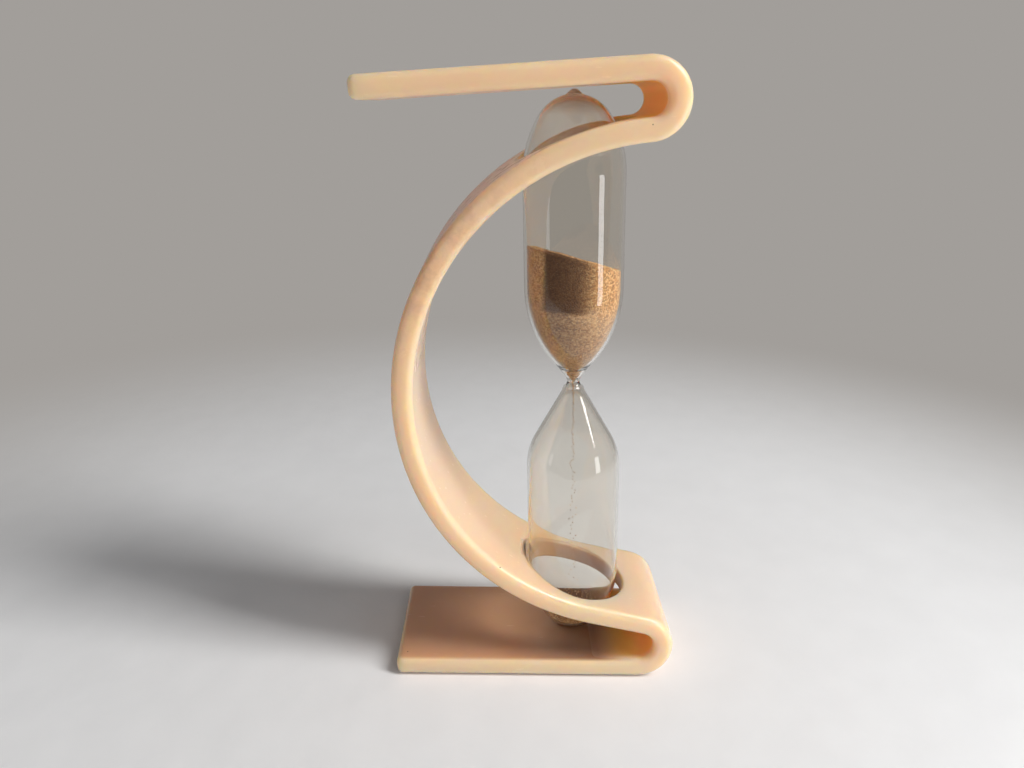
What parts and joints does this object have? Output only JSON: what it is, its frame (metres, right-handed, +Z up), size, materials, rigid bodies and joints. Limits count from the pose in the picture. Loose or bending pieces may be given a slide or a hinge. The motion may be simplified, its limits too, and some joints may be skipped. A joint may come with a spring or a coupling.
{
  "type": "hourglass",
  "caption": "Small sand timer: a sealed glass vial with two bulbs, loose in the holes of a C-shaped stand bent from one plastic strip.",
  "frame": {"origin": "bottom centre of the whole object's box: the base plate's underside is Z = 0", "axes": "+Z up, +X towards the folds and the open side of the bow, +Y towards the strip's back edge"},
  "size_m": [0.0466, 0.0206, 0.0901],
  "materials": {
    "stand_plastic": "polished cast acrylic, ivory, slightly translucent",
    "clear_glass": "clear drawn and fused glass tube",
    "sand": "dry fine quartz sand, tan"
  },
  "bodies": {
    "stand": {"stand": "stand_plastic"},
    "vial": {"glass_vial": "clear_glass", "sand_upper": "sand", "sand_lower": "sand", "sand_stream": "sand"}
  },
  "joints": [
    {"name": "vial_spin", "type": "hinge", "parent": "stand", "child": "vial", "pos_m": [0.00681, 0, 0.04446], "axis": [-0.0436, 0, 0.999], "continuous": true}
  ]
}
